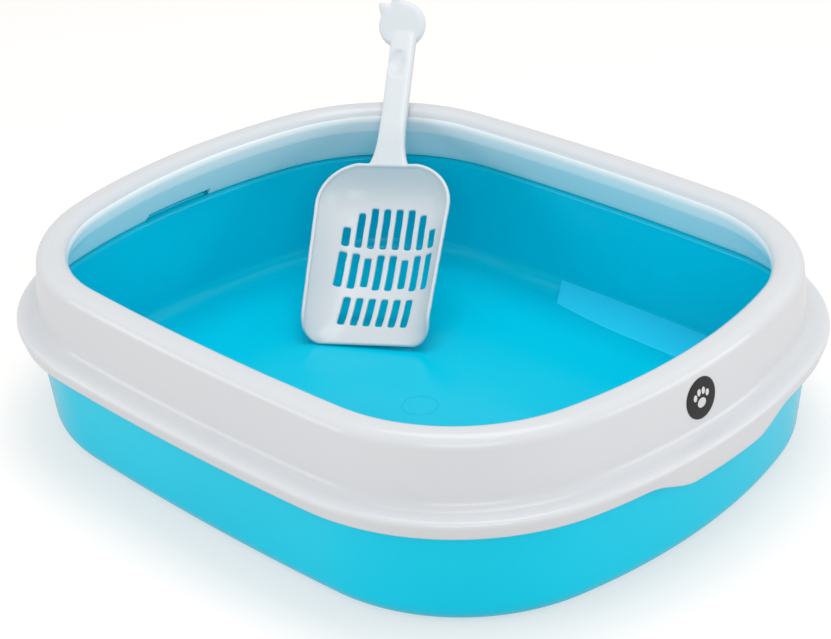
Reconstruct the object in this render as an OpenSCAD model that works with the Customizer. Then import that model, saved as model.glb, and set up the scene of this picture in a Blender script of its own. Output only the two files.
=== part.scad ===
/* [Tray] */
// Half of the tray's length, to the reference line of its bowed ends
half_length = 221; // [180:1:280]
// Half of the tray's width, to the reference line of its bowed sides
half_width = 178; // [140:1:230]
// Radius of the shallow bow along the long sides
side_bow_r = 2000; // [1200:50:4000]
// Radius of the bow across the short ends
end_bow_r = 377; // [320:1:600]
// Radius of the four corners on the reference line
corner_r = 109; // [80:1:120]
// Height of the ledge that runs round the inside of the tray
ledge_z = 75.8; // [60:0.2:110]
// Wall thickness of the tray
tray_t = 2.5; // [1.8:0.1:3.5]
// Outer radius where the wall rolls into the base
base_r = 16; // [10:0.5:22]
// How far the outer face stands out of the reference line, low on the wall
wall_out_low = 12.2; // [8:0.1:14]
// How far the outer face stands out of the reference line, at the ledge
wall_out_high = 17.6; // [16:0.1:18]
// Width of the ledge
ledge_w = 3.7; // [3:0.1:4.4]
// Height of the upstand above the ledge
upstand_h = 2.7; // [2:0.1:2.8]
// Width of the flange outside the upstand
flange_w = 2.4; // [1.5:0.1:2.6]

/* [Ramp in the tray] */
// Where the ramp's free end meets the floor
ramp_start_x = -24; // [-60:1:0]
// Length of the ramp's foot
ramp_l = 136; // [80:1:150]
// How far the ramp reaches in over the floor
ramp_reach = 14; // [6:1:24]
// Height of the ramp where it meets the wall
ramp_h = 8; // [4:0.5:12]

/* [Rim] */
// Sheet thickness of the rim
rim_t = 2.2; // [1.6:0.1:2.4]
// Height of the rim above the tray's ledge
rim_h = 47; // [38:0.5:70]
// Radius of the two rounded shoulders of the crown
crown_r = 8.2; // [6:0.1:10]
// Flat width between the crown's two shoulders
crown_flat = 4; // [2:0.5:8]
// How far the lip's outermost line stands out of the reference line
lip_out = 29.1; // [29:0.1:33]
// Height of the lip's rounded top above the ledge
lip_rise = 5.2; // [5:0.1:6]
// Height of the lip's outer face
lip_h = 11; // [8:0.5:14]
// Radius of the hollow where the flare meets the outer wall
flare_r = 7; // [5:0.5:9]
// Depth of the finger grip below the lip, at the middle of each short end
grip_drop = 9; // [4:0.5:14]
// Half of the grip's full-depth width
grip_half = 26; // [15:1:40]
// Length of the slope at each side of the grip
grip_ease = 36; // [15:1:40]
// Width of the notch in the skirt at each short end
notch_w = 56; // [30:1:80]
// Height of the notch
notch_h = 5.7; // [3:0.1:5.8]
// Gap between the rim and the tray
rim_gap = 0.6; // [0.4:0.1:1]

/* [Label] */
// Diameter of the stuck-on round label
label_d = 25; // [12:1:26]
// Thickness of the label
label_t = 0.4; // [0.2:0.1:0.6]
// How far the label sits to one side of the end's middle
label_y = -11; // [-40:1:40]

/* [Scoop] */
// Length of the scoop's basket
basket_l = 137; // [110:1:160]
// Half of the basket's width at its lip
tip_half = 33; // [25:0.5:38]
// Half of the basket's greatest width
basket_half = 48.6; // [40:0.2:56]
// Depth of the basket's floor below its lip
basket_depth = 19; // [12:0.5:24]
// Height of the side walls near the lip
side_rise = 14; // [6:0.5:18]
// Wall thickness of the scoop
scoop_t = 2.2; // [1.6:0.1:3]
// Width of a slot
slot_w = 5; // [3:0.1:6]
// Distance from one slot to the next
slot_pitch = 9.1; // [8:0.1:10]
// How far the slots lean across the basket, in degrees
slot_slant = 1.6; // [0:0.2:4]
// Length of the handle, from the basket to the head
handle_l = 108; // [80:1:140]
// Width of the handle where it is held
handle_w = 18.5; // [14:0.5:24]
// Thickness of the handle
handle_t = 9; // [6:0.5:12]
// Radius of the round head on the end of the handle
head_r = 17.5; // [12:0.5:20]
// How far the head bends up out of the handle's line, in degrees
head_bend = 16; // [0:1:30]
// How far the scoop's lip stands from the corner's centre, along the tray
scoop_in_x = 21; // [0:1:60]
// How far the scoop's lip stands from the corner's centre, across the tray
scoop_in_y = 34; // [10:1:60]
// Direction in which the scoop leans, in degrees from the tray's long axis
scoop_heading = 123.6; // [110:0.2:130]
// Turn of the scoop about its own length, in degrees
scoop_roll = 3; // [0:0.5:6]
// Clearance under the scoop's lip and under its handle on the crown
scoop_gap = 0.6; // [0.4:0.1:2]

/* [Hidden] */
$fa = 1;
$fs = 0.5;

// The outline is eight arcs that run into each other: two long sides, two
// ends and four corners. Its lines are all the same distance apart, so one
// section turned about each arc's centre follows the whole outline.
side_c = [0, half_width - side_bow_r];
end_c = [half_length - end_bow_r, 0];
corner_c = meeting(side_c, side_bow_r - corner_r, end_c, end_bow_r - corner_r);
side_a = bearing(corner_c - side_c);
end_a = bearing(corner_c - end_c);

// Heights and reaches that the pieces share
lip_top = ledge_z + lip_rise;
crown_z = ledge_z + rim_h - crown_r;
upstand_out = wall_out_high + ledge_w;
base_in = wall_out_low - base_r;
lip_r = rim_t + 1;
lip_bottom = [lip_out - 2.3, lip_top - lip_h];
wall_foot = lip_out - 14;
skirt_foot = [wall_out_high - 1.4, ledge_z + rim_gap + 0.4];

function bearing(v) = atan2(v.y, v.x);
function unit(v) = v / norm(v);
function left(v) = [-v.y, v.x];

// Where two circles cross, to the right of the line from c1 to c2
function meeting(c1, r1, c2, r2) =
    let (d = norm(c2 - c1), a = (r1 * r1 - r2 * r2 + d * d) / (2 * d))
    c1 + a * unit(c2 - c1) - sqrt(r1 * r1 - a * a) * left(unit(c2 - c1));

// Points along an arc
function arc(c, r, from, to, steps = 8) =
    [for (i = [0:steps]) let (a = from + (to - from) * i / steps) c + r * [cos(a), sin(a)]];

// A path moved to its left by t, with mitred corners
function moved(p, t) =
    let (last = len(p) - 1)
    [for (i = [0:last])
        let (a = unit(p[max(i, 1)] - p[max(i, 1) - 1]),
             b = unit(p[min(i, last - 1) + 1] - p[min(i, last - 1)]))
        p[i] + t * (left(a) + left(b)) / (1 + a * b)];

// A strip of thickness t on the left of a path
function strip(p, t) =
    let (q = moved(p, t))
    concat(p, [for (i = [len(q) - 1:-1:0]) q[i]]);

// Stations round the outline, each as [centre, radius, bearing]. The stations
// of an end sit at chosen distances from the end's middle.
function quarter(ys) = concat(
    [for (y = ys) [end_c, end_bow_r, asin(y / end_bow_r)]],
    [for (i = [0:9]) [corner_c, corner_r, end_a + (side_a - end_a) * i / 10]],
    [for (i = [0:3]) [side_c, side_bow_r, side_a + (90 - side_a) * i / 4]]);

function flipped(s, m) =
    [[s[0].x * m.x, s[0].y * m.y], s[1],
     m.x > 0 ? m.y * s[2] : 180 - m.y * s[2]];

// All the way round, anticlockwise. Each quarter is a mirror of the last.
function stations(ys) =
    let (q = quarter(ys), side = [[side_c, side_bow_r, 90]], last = len(q) - 1)
    concat(
        q, side,
        [for (i = [last:-1:1]) flipped(q[i], [-1, 1])],
        [for (i = [0:last]) flipped(q[i], [-1, -1])],
        [flipped(side[0], [1, -1])],
        [for (i = [last:-1:1]) flipped(q[i], [1, -1])]);

// A section's points set up at a station, where x is the distance outwards
function placed(section, s) =
    [for (p = section) let (c = s[0] + (s[1] + p.x) * [cos(s[2]), sin(s[2])]) [c.x, c.y, p.y]];

// Joins the sections into one closed skin. A floored one has its first and
// last lines closed off flat in place of the strip between them.
module loft(sections, floored = false) {
    n = len(sections);
    m = len(sections[0]);
    skin = [for (i = [0:n - 1], j = [0:m - (floored ? 2 : 1)])
        let (a = i * m + j, b = i * m + (j + 1) % m,
             c = ((i + 1) % n) * m + j, d = ((i + 1) % n) * m + (j + 1) % m)
        each [[a, b, d], [a, d, c]]];
    lids = floored ? [[for (i = [0:n - 1]) i * m], [for (i = [n - 1:-1:0]) i * m + m - 1]] : [];
    polyhedron(points = [for (s = sections) each s], faces = concat(skin, lids));
}

// ---- Tray: drafted wall, rolled base, and a ledge and flange for the rim ----

tray_ys = [0, 24, 48, 72];
mark_r = 12;
mark_depth = 0.6;
floor_lap = 12;

function tray_path() =
    let (a = [upstand_out, ledge_z - tray_t + 1],
         b = [upstand_out, ledge_z + upstand_h - tray_t + 0.3])
    concat(
        [[base_in - floor_lap, 0]],
        arc([base_in, base_r], base_r, -90, -5, 6),
        [[wall_out_high, ledge_z - tray_t + 0.2], a, b, b + [flange_w, -0.25]]);

// A slope along the foot of one long wall. It follows the wall's bow, it
// widens from its free end, and both its ends are cut at a slant.
module ramp() {
    steps = 10;
    mitre = 12;
    low = tray_t - 1;
    in_wall = tray_t / 2;
    // The back of the slope stays inside the thickness of the rolled base
    function roll(a) = [base_in, base_r] + (base_r - in_wall) * [cos(a), sin(a)];
    function section(i) =
        let (u = i / steps, x = ramp_start_x + ramp_l * u,
             foot = base_in - ramp_reach * (0.5 + 0.5 * sin(90 * min(1, 2 * u))),
             top = sqrt(pow(base_r - in_wall, 2) - pow(base_r - tray_t - ramp_h, 2)))
        [for (p = [[foot, low, 0], [foot, tray_t, 0], [base_in + top, tray_t + ramp_h, 1],
                   [each roll(-25), 0.9], [each roll(-60), 0.5], [base_in, low, 0.3]])
            let (px = x + p[2] * mitre * (2 * u - 1))
            [px, side_c.y + sqrt(pow(side_bow_r + p[0], 2) - px * px), p[1]]];
    n = 6;
    skin = [for (i = [0:steps - 1], j = [0:n - 1])
        let (a = i * n + j, b = i * n + (j + 1) % n, c = a + n, d = b + n)
        each [[a, b, d], [a, d, c]]];
    polyhedron(
        points = [for (i = [0:steps]) each section(i)],
        faces = concat(skin, [[for (j = [n - 1:-1:0]) j], [for (j = [0:n - 1]) steps * n + j]]));
}

module tray() {
    section = strip(tray_path(), tray_t);
    color("deepskyblue") difference() {
        union() {
            loft([for (s = stations(tray_ys)) placed(section, s)], floored = true);
            ramp();
        }
        translate([0, 0, tray_t - mark_depth]) cylinder(r = mark_r, h = 1);
    }
}

// ---- Rim: one folded sheet, from the lip up over the crown to the skirt ----

rim_ys = let (n = notch_w / 2, arc_ends_y = end_bow_r * sin(end_a))
    [for (y = [0, n / 2, n - 0.2, n + 0.2, n + 9, n + 18, n + 27, n + 36, n + 50]) if (y < arc_ends_y - 2) y];

// How much of the grip's depth there is at a distance y from an end's middle
function grip_at(y) =
    y < grip_half ? 1
    : y < grip_half + grip_ease ? (1 + cos(180 * (y - grip_half) / grip_ease)) / 2
    : 0;

// The rim's outer face at a place on the outline. At the middle of the ends
// the lip drops for the fingers, and the skirt is cut back by the notch.
function rim_path(at_end, y) =
    let (drop = at_end ? grip_drop * grip_at(y) : 0,
         cut = at_end && y < notch_w / 2 ? notch_h : 0,
         crease = [crown_r * -0.55, crown_z - crown_r - 1.9],
         fall = (skirt_foot - crease) / (crease.y - skirt_foot.y))
    concat(
        [lip_bottom - [0, drop]],
        arc([lip_out - lip_r, lip_top - lip_r], lip_r, -10, 84, 3),
        arc([wall_foot + flare_r, lip_top + flare_r + 0.6], flare_r, 264, 180, 4),
        arc([crown_flat, crown_z], crown_r, 6, 90, 3),
        arc([0, crown_z], crown_r, 90, 200, 4),
        [crease, skirt_foot - cut * fall]);

module rim() {
    color("white") loft([for (s = stations(rim_ys))
        placed(strip(rim_path(s[1] == end_bow_r, abs(s[1] * sin(s[2]))), rim_t), s)]);
}

// ---- Label: a thin round sticker that follows the bowed wall ----

module round_label() {
    glue = [0.1, 0];
    foot = [wall_foot, lip_top + flare_r + 0.6] + glue;
    top = [crown_flat, crown_z] + crown_r * [cos(6), sin(6)] + glue;
    color("dimgray") intersection() {
        translate(end_c) rotate(-end_a) rotate_extrude(angle = 2 * end_a, $fn = 720) translate([end_bow_r, 0])
            polygon([foot, foot + [label_t, 0], top + [label_t, 0], top]);
        translate([half_length, label_y, (foot.y + top.y) / 2]) rotate([0, 90, 0])
            cylinder(d = label_d, h = lip_out);
    }
}

// ---- Scoop: a slotted basket on a flat handle with a cat's head ----
// It is drawn lying flat: x across, y from the lip to the head, z up out of
// the basket. It is then leaned in the tray, lip down, handle on the crown.

tip_r = 12;
shoulder_r = 32;
handle_top = 2;

// The scoop leans as steeply as it must for its handle to lie on the crown:
// the line of the handle's underside is tangent to the crown's inner shoulder.
scoop_tip = [scoop_in_x - corner_c.x, corner_c.y - scoop_in_y];
scoop_way = [cos(scoop_heading), sin(scoop_heading)];
tip_to_corner = scoop_tip - [-corner_c.x, corner_c.y];
crown_reach = -tip_to_corner * scoop_way
    + sqrt(pow(tip_to_corner * scoop_way, 2) - tip_to_corner * tip_to_corner + corner_r * corner_r);
low_corner = 0.76 * (scoop_t + tip_half * sin(scoop_roll));
tip_z = tray_t + scoop_gap + low_corner;
crown_rise = crown_z - tip_z;
under_handle = handle_t - handle_top;
// The roll and the corner's curve bring one edge of the handle nearer the crown
edge_drop = handle_w / 2 * sin(scoop_roll) + handle_w * handle_w / (8 * corner_r);
scoop_lean = atan2(crown_rise, crown_reach)
    + asin((crown_r + scoop_gap + under_handle + edge_drop) / norm([crown_reach, crown_rise]));

// Half of the basket's width at a distance y from its lip
function half_at(y) =
    y < tip_r ? tip_half + sqrt(tip_r * tip_r - (tip_r - y) * (tip_r - y))
    : y > basket_l - shoulder_r
        ? basket_half - shoulder_r + sqrt(shoulder_r * shoulder_r - pow(y - basket_l + shoulder_r, 2))
    : tip_half + tip_r + (basket_half - tip_half - tip_r) * (y - tip_r) / (basket_l - shoulder_r - tip_r);

// Height of the basket's floor along its middle
function floor_at(y) =
    let (run = basket_l * 0.55, back = basket_l * 0.66)
    y < run ? -basket_depth * sin(90 * y / run)
    : y < back ? -basket_depth
    : -basket_depth * cos(90 * pow((y - back) / (basket_l - back), 2));

// Height of the basket's edge
function edge_at(y) = side_rise * sin(90 * min(1, y / 20)) * (1 - y / basket_l);

module basket() {
    across = 12;
    ys = concat([for (i = [0:4]) 1.5 + tip_r * (1 - cos(90 * i / 4)) - 1.5],
                [for (i = [1:9]) tip_r + (basket_l - shoulder_r - tip_r) * i / 9],
                [for (i = [1:8]) basket_l - shoulder_r + shoulder_r * sin(90 * i / 8)]);
    rows = len(ys);
    function skin(y, k, down) =
        let (u = 2 * k / across - 1, f = floor_at(y), e = edge_at(y))
        [half_at(y) * u, y, f + (e - f) * pow(abs(u), 4) - down];
    top = [for (y = ys, k = [0:across]) skin(y, k, 0)];
    under = [for (y = ys, k = [0:across]) skin(y, k, scoop_t)];
    n = across + 1;
    m = rows * n;
    function quad(a, b, c, d) = [[a, b, c], [a, c, d]];
    sheet = [for (i = [0:rows - 2], k = [0:across - 1], half = [0, 1])
        quad(i * n + k, i * n + k + 1, (i + 1) * n + k + 1, (i + 1) * n + k)[half]];
    edge = concat([for (k = [0:across]) k],
                  [for (i = [1:rows - 1]) i * n + across],
                  [for (k = [across - 1:-1:0]) (rows - 1) * n + k],
                  [for (i = [rows - 2:-1:1]) i * n]);
    wall = [for (j = [0:len(edge) - 1], half = [0, 1])
        let (a = edge[j], b = edge[(j + 1) % len(edge)])
        quad(a, a + m, b + m, b)[half]];
    polyhedron(
        points = concat(top, under),
        faces = concat([for (f = sheet) [f[2], f[1], f[0]]], [for (f = sheet) f + [m, m, m]], [for (f = wall) [f[2], f[1], f[0]]]));
}

// One slot from y0 to y1, in the column that lies col pitches off the middle
module slot(col, y0, y1) {
    translate([col * slot_pitch, 0, -basket_depth * 2]) linear_extrude(basket_depth * 3) {
        translate([-slot_w / 2, y0 + slot_w / 2]) square([slot_w, y1 - y0 - slot_w]);
        translate([0, y0 + slot_w / 2]) circle(d = slot_w);
        translate([0, y1 - slot_w / 2]) circle(d = slot_w);
    }
}

// Three rows of slots. The last row is arched, and the first is narrower.
module slots() {
    row_ends = [[0.11, 0.28], [0.335, 0.54], [0.575, 0.80]] * basket_l;
    rotate(-slot_slant) for (side = [-1, 1]) {
        for (k = [0:2]) slot(side * (k + 0.5), row_ends[0][0], row_ends[0][1]);
        for (k = [0:3]) slot(side * (k + 0.5), row_ends[1][0], row_ends[1][1]);
        for (k = [0:3]) slot(side * (k + 0.5), row_ends[2][0],
            row_ends[2][1] - (k == 3 ? 16 : k == 2 ? 4 : 0));
    }
}

module handle() {
    grip_half_w = handle_w / 2;
    // The handle narrows quickly at first as it leaves the basket
    root = 5.4;
    flare = 36;
    side = [for (i = [0:8]) [grip_half_w + root * (exp(-3 * i / 8) - exp(-3)), basket_l - 2 + flare * i / 8]];
    outline = concat(side, [[grip_half_w, basket_l + handle_l], [-grip_half_w, basket_l + handle_l]],
        [for (i = [8:-1:0]) [-side[i].x, side[i].y]]);
    translate([0, 0, -under_handle]) linear_extrude(handle_t) polygon(outline);
}

// A round head with two pointed ears, turned a little to one side
module head() {
    ear = head_r * 0.42;
    translate([-2, basket_l + handle_l, handle_top - handle_t + 1]) rotate([head_bend, 0, 0])
        linear_extrude(handle_t - 1) translate([0, head_r * 0.32]) {
            circle(r = head_r);
            for (a = [104, 138]) rotate(a)
                polygon([[head_r * 0.85, -ear], [head_r + ear, -0.8], [head_r + ear, 0.8], [head_r * 0.85, ear]]);
        }
}

module scoop() {
    color("whitesmoke")
        translate([scoop_tip.x, scoop_tip.y, tip_z])
            rotate([0, 0, scoop_heading - 90]) rotate([scoop_lean, 0, 0]) rotate([0, -scoop_roll, 0]) {
                difference() {
                    basket();
                    slots();
                }
                handle();
                head();
            }
}

tray();
rim();
round_label();
scoop();
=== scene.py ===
import math

import bmesh
import bpy
from mathutils import Matrix, Vector


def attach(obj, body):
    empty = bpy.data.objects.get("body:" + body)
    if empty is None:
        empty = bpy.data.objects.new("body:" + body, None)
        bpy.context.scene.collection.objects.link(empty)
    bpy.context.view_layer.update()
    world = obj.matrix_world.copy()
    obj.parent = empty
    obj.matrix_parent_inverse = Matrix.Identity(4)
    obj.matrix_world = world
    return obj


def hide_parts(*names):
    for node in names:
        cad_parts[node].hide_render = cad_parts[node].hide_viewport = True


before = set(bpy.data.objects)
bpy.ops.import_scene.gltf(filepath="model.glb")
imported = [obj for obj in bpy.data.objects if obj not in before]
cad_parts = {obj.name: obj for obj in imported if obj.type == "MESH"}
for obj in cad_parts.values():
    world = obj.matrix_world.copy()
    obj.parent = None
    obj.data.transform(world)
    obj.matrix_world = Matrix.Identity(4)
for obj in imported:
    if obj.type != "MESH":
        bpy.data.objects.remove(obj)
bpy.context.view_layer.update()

# ---- Camera, floor and lights ----
# The viewer stands off the corner between the +X end and the -Y side and
# looks down a little, with the camera tipped slightly to one side.

camera_heading = math.radians(45.2)
camera_height = math.radians(28.2)
camera_tip = math.radians(-2.7)
camera_distance = 1.339
camera_lens = 88.0

camera_back = Vector((
    math.sin(camera_heading) * math.cos(camera_height),
    -math.cos(camera_heading) * math.cos(camera_height),
    math.sin(camera_height)))
camera_turn = camera_back.to_track_quat("Z", "Y").to_matrix() @ Matrix.Rotation(camera_tip, 3, "Z")
camera_shift = Vector((-0.0029, 0.0588, 0.0))
camera_eye = camera_turn @ camera_shift + camera_back * camera_distance

camera_data = bpy.data.cameras.new("camera")
camera_data.lens = camera_lens
camera_data.clip_end = 20.0
camera = bpy.data.objects.new("camera", camera_data)
camera.matrix_world = Matrix.Translation(camera_eye) @ camera_turn.to_4x4()
bpy.context.collection.objects.link(camera)
bpy.context.scene.camera = camera


def brighter_when_seen(tree, strength, lit, seen):
    """Set a strength to one value for the light it gives and another for how it looks."""
    path = tree.nodes.new("ShaderNodeLightPath")
    choice = tree.nodes.new("ShaderNodeMapRange")
    choice.inputs["To Min"].default_value = lit
    choice.inputs["To Max"].default_value = seen
    tree.links.new(path.outputs["Is Camera Ray"], choice.inputs["Value"])
    tree.links.new(choice.outputs["Result"], strength)


floor_mesh = bpy.data.meshes.new("floor")
floor_half = 6.0
floor_mesh.from_pydata(
    [(x * floor_half, y * floor_half, 0) for x, y in [(-1, -1), (1, -1), (1, 1), (-1, 1)]],
    [], [(0, 1, 2, 3)])
floor = bpy.data.objects.new("floor", floor_mesh)
bpy.context.collection.objects.link(floor)
floor_paint = bpy.data.materials.new("floor_paint")
floor_paint.use_nodes = True
floor_shader = floor_paint.node_tree.nodes["Principled BSDF"]
floor_shader.inputs["Base Color"].default_value = (0.52, 0.47, 0.45, 1)
floor_shader.inputs["Emission Color"].default_value = (1, 1, 1, 1)
brighter_when_seen(floor_paint.node_tree, floor_shader.inputs["Emission Strength"], 0.25, 0.48)
floor_shader.inputs["Roughness"].default_value = 0.7
floor_mesh.materials.append(floor_paint)

sky = bpy.data.worlds.new("sky")
sky.use_nodes = True
sky_light = sky.node_tree.nodes["Background"]
sky_light.inputs["Color"].default_value = (1.0, 1.0, 1.0, 1)
brighter_when_seen(sky.node_tree, sky_light.inputs["Strength"], 0.66, 0.9)
bpy.context.scene.world = sky
bpy.context.scene.view_settings.view_transform = "Standard"

# Each light is a soft panel, aimed at a height above the middle of the floor
for light_name, place, aim_height, wide, high, power in [
        ("overhead", (0.0, 0.2, 1.9), 0.05, 1.4, 1.0, 15.0),
        ("right_panel", (1.6, 1.1, 0.50), 0.09, 1.3, 0.7, 9.0),
        ("left_panel", (-1.1, -1.6, 0.50), 0.09, 1.3, 0.7, 8.0),
        ("front_panel", (1.25, -1.25, 0.95), 0.09, 1.2, 0.7, 9.0)]:
    light = bpy.data.lights.new(light_name, "AREA")
    light.shape = "RECTANGLE"
    light.size = wide
    light.size_y = high
    light.energy = power
    lamp = bpy.data.objects.new(light_name, light)
    lamp_back = Vector(place) - Vector((0.0, 0.0, aim_height))
    lamp_turn = lamp_back.to_track_quat("Z", "Y").to_matrix().to_4x4()
    lamp.matrix_world = Matrix.Translation(place) @ lamp_turn
    bpy.context.collection.objects.link(lamp)

# ---- Tray ----
# The open basin in one moulding of glossy sky-blue plastic: a flat floor that
# rolls up into a drafted wall, with a ledge and a flange for the rim at its
# top and a slope along the foot of one long wall.

half_length = 0.221
half_width = 0.178
side_bow = 2.0
end_bow = 0.377
corner_r = 0.109
station_step = 0.0045


def crossing(c1, r1, c2, r2):
    """Where two circles cross, to the right of the line from c1 to c2."""
    way = c2 - c1
    d = way.length
    a = (r1 * r1 - r2 * r2 + d * d) / (2 * d)
    way.normalize()
    return c1 + a * way - math.sqrt(r1 * r1 - a * a) * Vector((-way.y, way.x))


side_c = Vector((0, half_width - side_bow))
end_c = Vector((half_length - end_bow, 0))
corner_c = crossing(side_c, side_bow - corner_r, end_c, end_bow - corner_r)
side_turn = math.atan2(corner_c.y - side_c.y, corner_c.x - side_c.x)
end_turn = math.atan2(corner_c.y - end_c.y, corner_c.x - end_c.x)


def outline(end_marks=()):
    """Stations round the oval-cornered outline, as (centre, radius, outward).

    The marks are distances from the middle of the ends where a station has to
    be, for a feature with a sharp start.
    """
    quarter = []
    for c, r, a0, a1, extra in [
            (end_c, end_bow, 0.0, end_turn, [math.asin(y / end_bow) for y in end_marks]),
            (corner_c, corner_r, end_turn, side_turn, []),
            (side_c, side_bow, side_turn, math.pi / 2, [])]:
        count = max(3, round(r * (a1 - a0) / station_step))
        angles = sorted([a0 + (a1 - a0) * i / count for i in range(count)] + extra)
        quarter += [(c, r, Vector((math.cos(a), math.sin(a)))) for a in angles]
    quarter.append((side_c, side_bow, Vector((0.0, 1.0))))

    def flipped(stations, fx, fy):
        return [(Vector((c.x * fx, c.y * fy)), r, Vector((n.x * fx, n.y * fy)))
                for c, r, n in stations]

    return (quarter + flipped(quarter[-2::-1], -1, 1) + flipped(quarter[1:], -1, -1)
            + flipped(quarter[-2:0:-1], 1, -1))


def arc(cx, cz, r, start, end, steps):
    """Points along an arc, from one angle to another in degrees."""
    turns = [math.radians(start + (end - start) * i / steps) for i in range(steps + 1)]
    return [Vector((cx + r * math.cos(a), cz + r * math.sin(a))) for a in turns]


def rounded(points, radii, steps):
    """The path with its inner corners eased to curves that start radii away."""
    path = [points[0]]
    for before, corner, after, r in zip(points, points[1:], points[2:], radii):
        start = corner + (before - corner).normalized() * r
        end = corner + (after - corner).normalized() * r
        for i in range(steps + 1):
            t = i / steps
            path.append(start * (1 - t) ** 2 + corner * 2 * t * (1 - t) + end * t * t)
    return path + [points[-1]]


def offset(path, t):
    """The path moved to its left by t."""
    out = []
    for i, p in enumerate(path):
        a = (path[max(i, 1)] - path[max(i, 1) - 1]).normalized()
        b = (path[min(i, len(path) - 2) + 1] - path[min(i, len(path) - 2)]).normalized()
        out.append(p + t * Vector((-a.y - b.y, a.x + b.x)) / (1 + a.dot(b)))
    return out


def round_end(start, end, steps=4):
    """A half circle to the right of the way from start to end, without its ends."""
    middle = (start + end) / 2
    arm = start - middle
    return [middle + Matrix.Rotation(math.pi * i / steps, 2) @ arm for i in range(1, steps)]


def skin(name, rows, floored=False):
    """A mesh object from rows of points round the outline, faces outwards."""
    n, m = len(rows), len(rows[0])
    faces = []
    for i in range(n):
        for j in range(m - 1 if floored else m):
            a, b = i * m + j, i * m + (j + 1) % m
            c, d = (i + 1) % n * m + j, (i + 1) % n * m + (j + 1) % m
            faces.append((a, c, d, b))
    if floored:
        faces.append([i * m for i in range(n - 1, -1, -1)])
        faces.append([i * m + m - 1 for i in range(n)])
    mesh = bpy.data.meshes.new(name)
    mesh.from_pydata([p for row in rows for p in row], [], faces)
    obj = bpy.data.objects.new(name, mesh)
    bpy.context.collection.objects.link(obj)
    return obj


def placed(section, station):
    """A section set up at a station: x is the distance outwards, y the height."""
    c, r, n = station
    return [(c.x + (r + p.x) * n.x, c.y + (r + p.x) * n.y, p.y) for p in section]


def plastic(name, colour, shade, roughness, scale, bleed=0.0, bleed_reach=0.004, gloss=0.32):
    """Glossy moulded plastic: a faint drift of colour, fine ripples, and light scuffs."""
    mat = bpy.data.materials.new(name)
    mat.use_nodes = True
    tree = mat.node_tree
    shader = tree.nodes["Principled BSDF"]

    def node(kind, **inputs):
        made = tree.nodes.new(kind)
        for key, value in inputs.items():
            made.inputs[key.replace("_", " ")].default_value = value
        return made

    def ramp(source, low, high, at_low, at_high):
        made = node(
            "ShaderNodeMapRange", From_Min=low, From_Max=high, To_Min=at_low, To_Max=at_high)
        tree.links.new(source, made.inputs["Value"])
        return made.outputs["Result"]

    place = tree.nodes.new("ShaderNodeTexCoord")

    def noise(size, detail, stretch=(1, 1, 1)):
        mapping = node("ShaderNodeMapping", Scale=stretch)
        tree.links.new(place.outputs["Object"], mapping.inputs["Vector"])
        made = node("ShaderNodeTexNoise", Scale=size, Detail=detail)
        tree.links.new(mapping.outputs["Vector"], made.inputs["Vector"])
        return made.outputs["Fac"]

    mix = tree.nodes.new("ShaderNodeMix")
    mix.data_type = "RGBA"
    mix.inputs["A"].default_value = (*colour, 1)
    mix.inputs["B"].default_value = (*shade, 1)
    tree.links.new(ramp(noise(scale, 3.0), 0.35, 0.65, 0.0, 1.0), mix.inputs["Factor"])
    tree.links.new(mix.outputs["Result"], shader.inputs["Base Color"])
    scuffs = ramp(noise(scale * 10, 6.0, (1.0, 7.0, 1.0)), 0.62, 0.80, 0.0, 0.16)
    cloudy = ramp(noise(scale * 2, 2.0), 0.3, 0.7, roughness, roughness + 0.05)
    total = node("ShaderNodeMath")
    total.operation = "ADD"
    tree.links.new(scuffs, total.inputs[0])
    tree.links.new(cloudy, total.inputs[1])
    tree.links.new(total.outputs["Value"], shader.inputs["Roughness"])
    bump = node("ShaderNodeBump", Strength=0.10, Distance=0.0006)
    tree.links.new(noise(scale * 9, 2.0), bump.inputs["Height"])
    tree.links.new(bump.outputs["Normal"], shader.inputs["Normal"])
    shader.inputs["IOR"].default_value = 1.45
    shader.inputs["Specular IOR Level"].default_value = gloss
    shader.inputs["Subsurface Weight"].default_value = bleed
    shader.inputs["Subsurface Radius"].default_value = (0.4, 0.9, 1.0)
    shader.inputs["Subsurface Scale"].default_value = bleed_reach
    return mat


tray_t = 0.0025
base_r = 0.016
wall_low = 0.0122
wall_high = 0.0176
ledge_z = 0.0758
ledge_w = 0.0037
ledge_low = 0.0002
ledge_high = 0.001
upstand_h = 0.0027
flange_w = 0.0024
flange_droop = 0.00025
base_in = wall_low - base_r
floor_edge = base_in - 0.020
floor_steps = 10
ramp_start = -0.024
ramp_end = 0.112
ramp_mitre = 0.012
ramp_reach = 0.014
ramp_h = 0.008
ramp_steps = 40
ramp_ease = 0.06
sink = 0.001
mark_r = 0.012
mark_half = 0.0008
mark_h = 0.0003
mark_edge_h = 0.0002
mark_steps = 96

wall_top = Vector((wall_high, ledge_z - tray_t + ledge_low))
ledge_out = Vector((wall_high + ledge_w, ledge_z - tray_t + ledge_high))
upstand_top = ledge_out + Vector((0, upstand_h - 0.0007))
flange_tip = upstand_top + Vector((flange_w, -flange_droop))
roll = arc(base_in, base_r, base_r, -90, -5, 14)
outer = rounded(
    [roll[-1], wall_top, ledge_out, upstand_top, flange_tip],
    [0.0015, 0.0009, 0.0006], 4)
flat = [Vector((floor_edge + (base_in - floor_edge) * i / floor_steps, 0))
        for i in range(floor_steps)]
outer = flat + roll[:-1] + outer
inner = offset(outer, tray_t)
tray_section = outer + round_end(outer[-1], inner[-1]) + inner[::-1]


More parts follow.
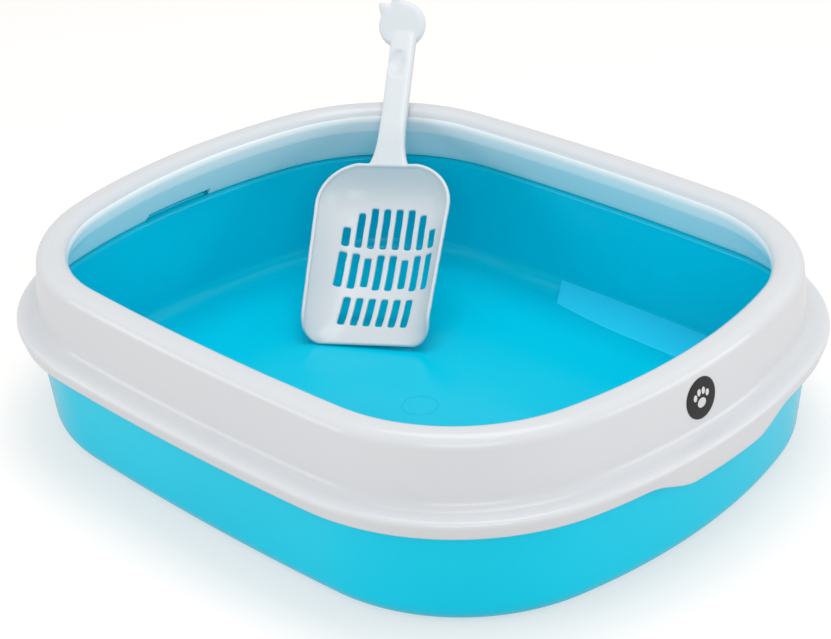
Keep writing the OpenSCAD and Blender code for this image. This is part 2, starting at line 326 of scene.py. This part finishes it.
def ramp_rows():
    """The slope's sections along the +Y wall's foot, with slanted ends.

    Each point has a share of the slope's height, by which the ends slant.
    """
    in_wall = base_r - tray_t / 2
    top = math.sqrt(in_wall ** 2 - (base_r - tray_t - ramp_h) ** 2)
    ridge = Vector((base_in + top, tray_t + ramp_h))
    lift = Vector((0, 0.0001))
    behind = [(Vector((base_in, base_r)) + in_wall * Vector((math.cos(a), math.sin(a))), share)
              for a, share in [(math.radians(-25), 0.9), (math.radians(-60), 0.5)]]
    behind.append((Vector((base_in, tray_t - sink)), 0.3))
    for i in range(ramp_steps + 1):
        u = i / ramp_steps
        reach = ramp_reach * (0.5 + 0.5 * math.sin(math.pi / 2 * min(1, 2 * u)))
        lip = Vector((base_in - reach, tray_t))
        section = [
            (lip - Vector((0, sink)), 0.0), (lip, 0.0),
            (lip + (ridge - lip) * ramp_ease + lift, ramp_ease),
            (ridge + (lip - ridge) * ramp_ease + lift, 1 - ramp_ease),
            (ridge, 1.0)] + behind
        row = []
        for p, share in section:
            x = ramp_start + (ramp_end - ramp_start) * u + share * ramp_mitre * (2 * u - 1)
            row.append((x, side_c.y + math.sqrt((side_bow + p.x) ** 2 - x * x), p.y))
        yield row


tray_rows = [placed(tray_section, station) for station in outline()]
tray = skin("tray_moulding", tray_rows, floored=True)

# The slope and the ring left by the mould's gate are part of the moulding
tray_mesh = bmesh.new()
tray_mesh.from_mesh(tray.data)
slope = [[tray_mesh.verts.new(p) for p in row] for row in ramp_rows()]
slope_faces = []
for row, after in zip(slope, slope[1:]):
    for j in range(len(row)):
        k = (j + 1) % len(row)
        slope_faces.append(tray_mesh.faces.new((row[j], row[k], after[k], after[j])))
slope_faces.append(tray_mesh.faces.new(slope[0][::-1]))
slope_faces.append(tray_mesh.faces.new(slope[-1]))
bmesh.ops.recalc_face_normals(tray_mesh, faces=slope_faces)
ring_section = [
    (mark_r - mark_half, -mark_edge_h), (mark_r - mark_half / 2, mark_edge_h), (mark_r, mark_h),
    (mark_r + mark_half / 2, mark_edge_h), (mark_r + mark_half, -mark_edge_h)]
ring = []
for i in range(mark_steps):
    a = 2 * math.pi * i / mark_steps
    ring.append([tray_mesh.verts.new((r * math.cos(a), r * math.sin(a), tray_t + z))
                 for r, z in ring_section])
ring_faces = []
for row, after in zip(ring, ring[1:] + ring[:1]):
    for j in range(len(row)):
        k = (j + 1) % len(row)
        ring_faces.append(tray_mesh.faces.new((row[j], after[j], after[k], row[k])))
bmesh.ops.recalc_face_normals(tray_mesh, faces=ring_faces)
# The slope's faces take a paler blue, as painted light
for face in slope_faces:
    face.material_index = 1
tray_mesh.to_mesh(tray.data)
tray_mesh.free()

tray_plastic = plastic(
    "tray_plastic", (0.0, 0.57, 0.77), (0.0, 0.55, 0.75), 0.13, 9.0, gloss=0.2)
tray.data.materials.append(tray_plastic)
# A paler copy of the tray's blue: painted light that brightens the slope's faces
slope_painted_light = plastic(
    "slope_painted_light", (0.02, 0.66, 0.93), (0.02, 0.64, 0.91), 0.10, 9.0, gloss=0.3)
tray.data.materials.append(slope_painted_light)
for face in tray.data.polygons:
    face.use_smooth = face.material_index == 0
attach(tray, "tray")
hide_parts("tray")

# ---- Rim ----
# The raised guard, folded from one skin of glossy white plastic: a lip that
# hooks over the tray, a hollow crown and a skirt that turns back inside. It
# rests on the tray's ledge. The lip dips at both ends for the fingers.

rim_t = 0.0022
rim_h = 0.047
crown_r = 0.0082
crown_flat = 0.004
lip_out = 0.0291
lip_rise = 0.0052
lip_h = 0.011
lip_r = rim_t + 0.001
lip_draft = 0.0023
lip_shelf = 0.014
flare_r = 0.007
flare_rise = 0.0006
wall_slope = 6
grip_drop = 0.009
grip_half = 0.026
grip_ease = 0.036
notch_half = 0.028
notch_h = 0.0057
notch_edge = 0.0004
skirt_in = 0.0014
skirt_up = 0.0004
crease_in = 0.55
crease_drop = 0.0019
crease_ease = 0.0012
rim_gap = 0.0006

lip_top = ledge_z + lip_rise
crown_z = ledge_z + rim_h - crown_r
wall_foot = Vector((lip_out - lip_shelf, lip_top + flare_r + flare_rise))
lip_bottom = Vector((lip_out - lip_draft, lip_top - lip_h))
skirt_foot = Vector((wall_high - skirt_in, ledge_z + rim_gap + skirt_up))
crease = Vector((-crease_in * crown_r, crown_z - crown_r - crease_drop))


def rim_section(at_end, y):
    """The rim's closed section at a place on the outline."""
    drop = 0.0
    if at_end and y < grip_half:
        drop = grip_drop
    elif at_end and y < grip_half + grip_ease:
        drop = grip_drop * (1 + math.cos(math.pi * (y - grip_half) / grip_ease)) / 2
    cut = 0.0
    if at_end:
        cut = notch_h * min(1.0, max(0.0, (notch_half - y) / notch_edge))
    fall = (skirt_foot - crease) / (crease.y - skirt_foot.y)
    lip_arc = arc(lip_out - lip_r, lip_top - lip_r, lip_r, -10, 84, 8)
    lip_foot = lip_bottom - Vector((0, drop))
    side = [lip_foot + (lip_arc[0] - lip_foot) * i / 5 for i in range(5)]
    crown_in = arc(0, crown_z, crown_r, 90, 196, 12)
    bend = rounded([crown_in[-1], crease, skirt_foot], [crease_ease], 5)
    skirt_end = skirt_foot - cut * fall
    skirt = [bend[-2] + (skirt_end - bend[-2]) * i / 8 for i in range(1, 9)]
    outside = (
        side + lip_arc
        + arc(wall_foot.x + flare_r, wall_foot.y, flare_r, 264, 180, 10)
        + arc(crown_flat, crown_z, crown_r, wall_slope, 90, 10)
        + crown_in + bend[1:-1] + skirt)
    inside = offset(outside, rim_t)
    return (outside + round_end(outside[-1], inside[-1])
            + inside[::-1] + round_end(inside[0], outside[0]))


notch_marks = [notch_half + notch_edge * k for k in (-1, -0.5, 0, 1)]
rim_rows = []
for station in outline(notch_marks):
    at_end = station[1] == end_bow
    y = abs(station[0].y + station[1] * station[2].y)
    rim_rows.append(placed(rim_section(at_end, y), station))
rim = skin("rim_guard", rim_rows)
for face in rim.data.polygons:
    face.use_smooth = True
# The faces from the crown's inner side down to the skirt's foot, counted along
# the section, get a whiter copy of the plastic: painted light for these inward faces
skirt_painted_light_faces = range(44, 62)
for i, face in enumerate(rim.data.polygons):
    face.material_index = int(i % len(rim_rows[0]) in skirt_painted_light_faces)
rim_plastic = plastic(
    "rim_plastic", (0.62, 0.64, 0.66), (0.61, 0.63, 0.655), 0.11, 8.0, bleed=0.06)
rim.data.materials.append(rim_plastic)
# A whiter copy of the rim's plastic: painted light that brightens the shaded inner faces
rim_inner_painted_light = plastic(
    "rim_inner_painted_light", (0.96, 0.91, 0.89), (0.94, 0.90, 0.88), 0.15, 8.0)
rim.data.materials.append(rim_inner_painted_light)
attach(rim, "rim")
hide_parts("rim")

# ---- Round label ----
# A charcoal sticker of printed film with a simple pale paw on it. It is stuck
# to the rim's wall at the middle of the +X end.

label_r = 0.0125
label_t = 0.0004
label_y = -0.011
label_glue = 0.0001
label_rings = [0.0, 0.3, 0.6, 0.8, 0.9, 0.97, 1.0]
label_spokes = 72
label_dome = 0.00012
paw_spokes = 28
paw_t = 0.00003

wall_top_out = arc(crown_flat, crown_z, crown_r, wall_slope, 90, 1)[0]
label_z = (wall_foot.y + wall_top_out.y) / 2


def on_wall(y, z, out):
    """The point on the rim's wall at the +X end, moved out from it."""
    up = (z - wall_foot.y) / (wall_top_out.y - wall_foot.y)
    d = wall_foot.x + (wall_top_out.x - wall_foot.x) * up + out
    return (end_c.x + math.sqrt((end_bow + d) ** 2 - y * y), y, z)


label_points = []
for out, rings in [(label_glue + label_t, label_rings), (label_glue, label_rings[::-1])]:
    for ring in rings:
        dome = label_dome * ring ** 8 if out > label_glue else 0.0
        for k in range(label_spokes):
            a = 2 * math.pi * k / label_spokes
            reach = max(ring, 0.001) * label_r
            label_points.append(on_wall(
                label_y + reach * math.cos(a), label_z + reach * math.sin(a), out - dome))
label_faces = []
for i in range(2 * len(label_rings) - 1):
    for k in range(label_spokes):
        a, b = i * label_spokes + k, i * label_spokes + (k + 1) % label_spokes
        label_faces.append((a, a + label_spokes, b + label_spokes, b))
last_ring = (2 * len(label_rings) - 1) * label_spokes
label_faces.append(list(range(label_spokes)))
label_faces.append([last_ring + k for k in range(label_spokes - 1, -1, -1)])

# The paw: one pad and four toes, as sideways and upward place, and half sizes
label_paw = []
for side, up, wide, high in [
        (0.0, -0.0028, 0.0036, 0.0029),
        (-0.0052, 0.0016, 0.0015, 0.0021), (-0.0019, 0.0040, 0.0015, 0.0022),
        (0.0019, 0.0040, 0.0015, 0.0022), (0.0052, 0.0016, 0.0015, 0.0021)]:
    first = len(label_points)
    for k in range(paw_spokes):
        a = 2 * math.pi * k / paw_spokes
        label_points.append(on_wall(
            label_y + side + wide * math.cos(a), label_z + up + high * math.sin(a),
            label_glue + label_t + paw_t))
    label_paw.append(len(label_faces))
    label_faces.append([first + k for k in range(paw_spokes)])
label_mesh = bpy.data.meshes.new("label")
label_mesh.from_pydata(label_points, [], label_faces)
label = bpy.data.objects.new("round_label_film", label_mesh)
bpy.context.collection.objects.link(label)
label_film = plastic("label_film", (0.012, 0.012, 0.014), (0.016, 0.016, 0.018), 0.34, 60.0)
label_mesh.materials.append(label_film)
label_print = plastic("label_print", (0.62, 0.63, 0.64), (0.58, 0.59, 0.60), 0.36, 60.0)
label_mesh.materials.append(label_print)
for k in label_paw:
    label_mesh.polygons[k].material_index = 1
for face in label_mesh.polygons:
    face.use_smooth = len(face.vertices) == 4
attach(label, "rim")
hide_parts("round_label")

# ---- Scoop ----
# The litter scoop, one moulding of glossy white plastic: a slotted basket, a
# flat handle with a thumb hollow, and a cat's head. It leans in the tray with
# its lip at the floor and its handle over the rim's crown.

basket_l = 0.137
tip_half = 0.033
basket_half = 0.0486
basket_depth = 0.019
basket_square = 4
flat_start = 0.55
flat_end = 0.66
side_rise = 0.014
side_start = 0.020
scoop_t = 0.0022
slot_w = 0.005
slot_pitch = 0.0091
slot_shift = 0.0008
bead_r = 0.0015
bead_narrow = 0.985
bead_short = 0.995
bead_on = 0.0004
handle_l = 0.108
handle_w = 0.0185
handle_t = 0.009
handle_top = 0.002
handle_square = 0.45
handle_in_basket = 0.0015
handle_in_head = 0.004
handle_rise_l = 0.030
hollow_x = -0.0022
hollow_y = 0.2175
hollow_half_w = 0.0062
hollow_half_l = 0.0110
hollow_depth = 0.0030
root_half = 0.0147
root_ease = 0.011
head_r = 0.0175
head_side = -0.002
head_on = 0.0056
head_inset = 0.001
head_edge = 0.35
head_dome = 0.7
ear_bearings = (104, 138)
ear_half = 19
ear_reach = 0.42
ear_point = 1.15
chin_h = 0.0014
chin_bearing = 262
chin_half = 42
chin_on = 0.82
chin_w = 0.16
slot_slant = math.radians(-1.6)
head_bend = math.radians(16)
tip_r = 0.012
shoulder_r = 0.032
scoop_in = Vector((0.021, 0.034))
scoop_heading = math.radians(123.6)
scoop_roll = math.radians(3)
scoop_gap = 0.0006
low_corner_share = 0.76
scoop_voxel = 0.0007

# It leans just as steeply as it must for the handle to lie on the crown
scoop_tip = Vector((scoop_in.x - corner_c.x, corner_c.y - scoop_in.y))
scoop_way = Vector((math.cos(scoop_heading), math.sin(scoop_heading)))
tip_to_corner = scoop_tip - Vector((-corner_c.x, corner_c.y))
along_way = tip_to_corner.dot(scoop_way)
crown_reach = -along_way + math.sqrt(along_way ** 2 - tip_to_corner.length_squared + corner_r ** 2)
tip_z = tray_t + scoop_gap + low_corner_share * (scoop_t + tip_half * math.sin(scoop_roll))
crown_rise = crown_z - tip_z
handle_low = handle_t - handle_top
edge_drop = handle_w / 2 * math.sin(scoop_roll) + handle_w ** 2 / (8 * corner_r)
scoop_lean = math.atan2(crown_rise, crown_reach) + math.asin(
    (crown_r + scoop_gap + handle_low + edge_drop) / math.hypot(crown_reach, crown_rise))
scoop_place = (
    Matrix.Translation((scoop_tip.x, scoop_tip.y, tip_z))
    @ Matrix.Rotation(scoop_heading - math.pi / 2, 4, "Z")
    @ Matrix.Rotation(scoop_lean, 4, "X") @ Matrix.Rotation(-scoop_roll, 4, "Y"))


def half_at(y):
    """Half of the basket's width at a distance y from its lip."""
    if y < tip_r:
        return tip_half + math.sqrt(max(0.0, tip_r ** 2 - (tip_r - y) ** 2))
    past = y - basket_l + shoulder_r
    if past > 0:
        return basket_half - shoulder_r + math.sqrt(max(0.0, shoulder_r ** 2 - past ** 2))
    along = (y - tip_r) / (basket_l - shoulder_r - tip_r)
    return tip_half + tip_r + (basket_half - tip_half - tip_r) * along


def floor_at(y):
    """Height of the basket's floor along its middle."""
    run, back = basket_l * flat_start, basket_l * flat_end
    if y < run:
        return -basket_depth * math.sin(math.pi / 2 * y / run)
    if y < back:
        return -basket_depth
    return -basket_depth * math.cos(math.pi / 2 * ((y - back) / (basket_l - back)) ** 2)


def edge_at(y):
    """Height of the basket's edge."""
    return side_rise * math.sin(math.pi / 2 * min(1.0, y / side_start)) * (1 - y / basket_l)


def mesh_piece(name, points, faces):
    """An object with doubled points joined and its faces outwards."""
    mesh = bpy.data.meshes.new(name)
    mesh.from_pydata(points, [], faces)
    obj = bpy.data.objects.new(name, mesh)
    bpy.context.collection.objects.link(obj)
    bm = bmesh.new()
    bm.from_mesh(mesh)
    bmesh.ops.remove_doubles(bm, verts=bm.verts, dist=1e-6)
    bmesh.ops.recalc_face_normals(bm, faces=bm.faces)
    bm.to_mesh(mesh)
    bm.free()
    return obj


def lofted(name, rows):
    """A closed piece from rows of points, with flat ends."""
    n, m = len(rows), len(rows[0])
    faces = [(i * m + j, i * m + (j + 1) % m, (i + 1) * m + (j + 1) % m, (i + 1) * m + j)
             for i in range(n - 1) for j in range(m)]
    faces += [list(range(m)), [(n - 1) * m + j for j in range(m)]]
    return mesh_piece(name, [p for row in rows for p in row], faces)


scoop_plastic = plastic(
    "scoop_plastic", (0.66, 0.685, 0.70), (0.65, 0.675, 0.695), 0.18, 14.0,
    bleed=0.08, bleed_reach=0.003)

# The basket: an upper and a lower skin a wall's thickness apart
across = 48
ys = [tip_r * (1 - math.cos(math.pi / 2 * i / 10)) for i in range(10)]
ys += [tip_r + (basket_l - shoulder_r - tip_r) * i / 40 for i in range(40)]
ys += [basket_l - shoulder_r + (shoulder_r - 0.0004) * math.sin(math.pi / 2 * i / 14)
       for i in range(15)]
top_skin, low_skin = [], []
for y in ys:
    for k in range(across + 1):
        u = 2 * k / across - 1
        z = floor_at(y) + (edge_at(y) - floor_at(y)) * abs(u) ** basket_square
        top_skin.append((half_at(y) * u, y, z))
        low_skin.append((half_at(y) * u, y, z - scoop_t))
n, count = across + 1, len(top_skin)
basket_faces = []
for i in range(len(ys) - 1):
    for k in range(across):
        a = i * n + k
        basket_faces.append((a, a + 1, a + n + 1, a + n))
        basket_faces.append((a + count, a + n + count, a + n + 1 + count, a + 1 + count))
border = list(range(n)) + [i * n + across for i in range(1, len(ys))]
border += [(len(ys) - 1) * n + k for k in range(across - 1, -1, -1)]
border += [i * n for i in range(len(ys) - 2, 0, -1)]
for a, b in zip(border, border[1:] + border[:1]):
    basket_faces.append((a, a + count, b + count, b))
basket = mesh_piece("basket", top_skin + low_skin, basket_faces)

# The slots: rows of upright cutters, which lean a little across the basket
slot_tree = bpy.data.node_groups.new("slot_row", "GeometryNodeTree")
slot_tree.interface.new_socket("Count", in_out="INPUT", socket_type="NodeSocketInt")
for socket in ("Pitch", "Width", "Length", "Start", "Height"):
    slot_tree.interface.new_socket(socket, in_out="INPUT", socket_type="NodeSocketFloat")
slot_tree.interface.new_socket("Geometry", in_out="OUTPUT", socket_type="NodeSocketGeometry")
slot_in = slot_tree.nodes.new("NodeGroupInput")
slot_out = slot_tree.nodes.new("NodeGroupOutput")


def slot_math(operation, first, second):
    """A maths node in the slot tree; each input is a socket or a number."""
    made = slot_tree.nodes.new("ShaderNodeMath")
    made.operation = operation
    for socket, value in zip(made.inputs, (first, second)):
        if isinstance(value, float):
            socket.default_value = value
        else:
            slot_tree.links.new(value, socket)
    return made.outputs[0]


def slot_vector(*parts):
    """A vector in the slot tree from sockets; None leaves a part at 0."""
    made = slot_tree.nodes.new("ShaderNodeCombineXYZ")
    for socket, value in zip(made.inputs, parts):
        if value is not None:
            slot_tree.links.new(value, socket)
    return made.outputs[0]


slot = slot_in.outputs
half_row = slot_math("MULTIPLY", slot_math("SUBTRACT", slot["Count"], 1.0), -0.5)
row_middle = slot_math("ADD", slot["Start"], slot_math("MULTIPLY", slot["Length"], 0.5))
row_edge = slot_vector(slot_math("MULTIPLY", half_row, slot["Pitch"]), row_middle)
slot_line = slot_tree.nodes.new("GeometryNodeMeshLine")
slot_block = slot_tree.nodes.new("GeometryNodeMeshCube")
slot_set = slot_tree.nodes.new("GeometryNodeInstanceOnPoints")
slot_real = slot_tree.nodes.new("GeometryNodeRealizeInstances")
slot_coat = slot_tree.nodes.new("GeometryNodeSetMaterial")
slot_coat.inputs["Material"].default_value = scoop_plastic
for source, target in [
        (slot["Count"], slot_line.inputs["Count"]),
        (row_edge, slot_line.inputs["Start Location"]),
        (slot_vector(slot["Pitch"]), slot_line.inputs["Offset"]),
        (slot_vector(slot["Width"], slot["Length"], slot["Height"]), slot_block.inputs["Size"]),
        (slot_line.outputs["Mesh"], slot_set.inputs["Points"]),
        (slot_block.outputs["Mesh"], slot_set.inputs["Instance"]),
        (slot_set.outputs["Instances"], slot_real.inputs["Geometry"]),
        (slot_real.outputs["Geometry"], slot_coat.inputs["Geometry"]),
        (slot_coat.outputs["Geometry"], slot_out.inputs["Geometry"])]:
    slot_tree.links.new(source, target)

# Each row: how many, how many pitches apart, and its two ends along the basket
cutters = bmesh.new()
for row_count, pitches, row_start, row_end in [
        (6, 1, 0.11, 0.28),
        (2, 1, 0.335, 0.54), (2, 3, 0.350, 0.518), (2, 5, 0.335, 0.54), (2, 7, 0.335, 0.54),
        (4, 1, 0.575, 0.80), (2, 5, 0.575, 0.77), (2, 7, 0.575, 0.68)]:
    row = bpy.data.objects.new("slot_row", bpy.data.meshes.new("slot_row"))
    bpy.context.collection.objects.link(row)
    rule = row.modifiers.new("slots", "NODES")
    rule.node_group = slot_tree
    sizes = {"Count": row_count, "Pitch": pitches * slot_pitch, "Width": slot_w, "Height": 0.1,
             "Start": row_start * basket_l, "Length": (row_end - row_start) * basket_l}
    for item in slot_tree.interface.items_tree:
        if item.in_out == "INPUT":
            rule[item.identifier] = sizes[item.name]
    graph = bpy.context.evaluated_depsgraph_get()
    cutters.from_mesh(bpy.data.meshes.new_from_object(row.evaluated_get(graph)))
    bpy.data.objects.remove(row)
slot_mesh = bpy.data.meshes.new("slots")
cutters.to_mesh(slot_mesh)
cutters.free()
slot_mesh.transform(Matrix.Rotation(slot_slant, 4, "Z") @ Matrix.Translation((slot_shift, 0, 0)))
slots = bpy.data.objects.new("slots", slot_mesh)
bpy.context.collection.objects.link(slots)
cut = basket.modifiers.new("slots", "BOOLEAN")
cut.operation = "DIFFERENCE"
cut.solver = "EXACT"
cut.object = slots

# A bead along the basket's edge
bead = bpy.data.curves.new("bead", "CURVE")
bead.dimensions = "3D"
bead.bevel_depth = bead_r
bead.bevel_resolution = 3
bead_line = bead.splines.new("POLY")
bead_points = [top_skin[i] for i in border]
bead_line.points.add(len(bead_points) - 1)
for spot, (px, py, pz) in zip(bead_line.points, bead_points):
    spot.co = (px * bead_narrow, py * bead_short + bead_on, pz - scoop_t / 2, 1)
bead_line.use_cyclic_u = True
bead_ring = bpy.data.objects.new("bead", bead)
bpy.context.collection.objects.link(bead_ring)


def squared(value, power):
    """A sine or cosine drawn out, which turns a round into a soft-edged box."""
    return math.copysign(abs(value) ** power, value)


# The handle: soft-edged, flared into the basket, with a hollow for the thumb
handle_rows = []
for i in range(61):
    y = basket_l - handle_in_basket + (handle_in_basket + handle_l + handle_in_head) * i / 60
    half = handle_w / 2 + (root_half - handle_w / 2) * math.exp(-(y - basket_l) / root_ease)
    rise = min(1.0, max(0.0, (y - basket_l) / handle_rise_l))
    low, high = -handle_low, handle_top * rise * rise * (3 - 2 * rise)
    row = []
    for j in range(48):
        a = 2 * math.pi * j / 48
        px = half * squared(math.cos(a), handle_square)
        pz = (high + low) / 2 + (high - low) / 2 * squared(math.sin(a), handle_square)
        if math.sin(a) > 0:
            oval = ((px - hollow_x) / hollow_half_w) ** 2 + ((y - hollow_y) / hollow_half_l) ** 2
            pz -= hollow_depth * math.sqrt(max(0.0, 1 - oval))
        row.append((px, y, pz))
    handle_rows.append(row)
handle = lofted("handle", handle_rows)

# The head: a low dome with two pointed ears and a chin, tilted forwards
head_t = handle_t - head_inset
head_place = (
    Matrix.Translation((0, basket_l + handle_l, -handle_low + head_inset))
    @ Matrix.Rotation(head_bend, 4, "X") @ Matrix.Translation((head_side, head_on, head_t / 2)))
head_rows = []
for i in range(1, 30):
    tilt = math.pi * i / 30
    spread = math.sin(tilt) ** head_edge
    row = []
    for j in range(120):
        a = 2 * math.pi * j / 120
        reach = head_r
        for ear in ear_bearings:
            gap = abs(math.degrees(a) - ear) / ear_half
            reach += head_r * ear_reach * max(0.0, 1 - gap) ** ear_point
        lift = head_t / 2 * squared(math.cos(tilt), head_dome)
        if lift > 0:
            across_chin = math.exp(-((math.degrees(a) - chin_bearing) / chin_half) ** 2)
            lift += chin_h * across_chin * math.exp(-((spread - chin_on) / chin_w) ** 2)
        row.append(head_place @ Vector((
            reach * spread * math.cos(a), reach * spread * math.sin(a), lift)))
    head_rows.append(row)
head = lofted("head", head_rows)

# The parts are melted into one moulding and its edges softened
joined = bmesh.new()
graph = bpy.context.evaluated_depsgraph_get()
for part in (basket, bead_ring, handle, head):
    made = bpy.data.meshes.new_from_object(part.evaluated_get(graph))
    joined.from_mesh(made)
raw = bpy.data.meshes.new("scoop_raw")
joined.to_mesh(raw)
joined.free()
melt = bpy.data.objects.new("scoop_raw", raw)
bpy.context.collection.objects.link(melt)
remesh = melt.modifiers.new("melt", "REMESH")
remesh.mode = "VOXEL"
remesh.voxel_size = scoop_voxel
soften = melt.modifiers.new("soften", "SMOOTH")
soften.factor = 0.5
soften.iterations = 5
graph = bpy.context.evaluated_depsgraph_get()
scoop_mesh = bpy.data.meshes.new_from_object(melt.evaluated_get(graph))
scoop_mesh.name = "scoop"
scoop_mesh.transform(scoop_place)
for part in (basket, slots, bead_ring, handle, head, melt):
    bpy.data.objects.remove(part)
scoop = bpy.data.objects.new("scoop_moulding", scoop_mesh)
bpy.context.collection.objects.link(scoop)
for face in scoop_mesh.polygons:
    face.use_smooth = True
scoop_mesh.materials.append(scoop_plastic)
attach(scoop, "scoop")
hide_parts("scoop")
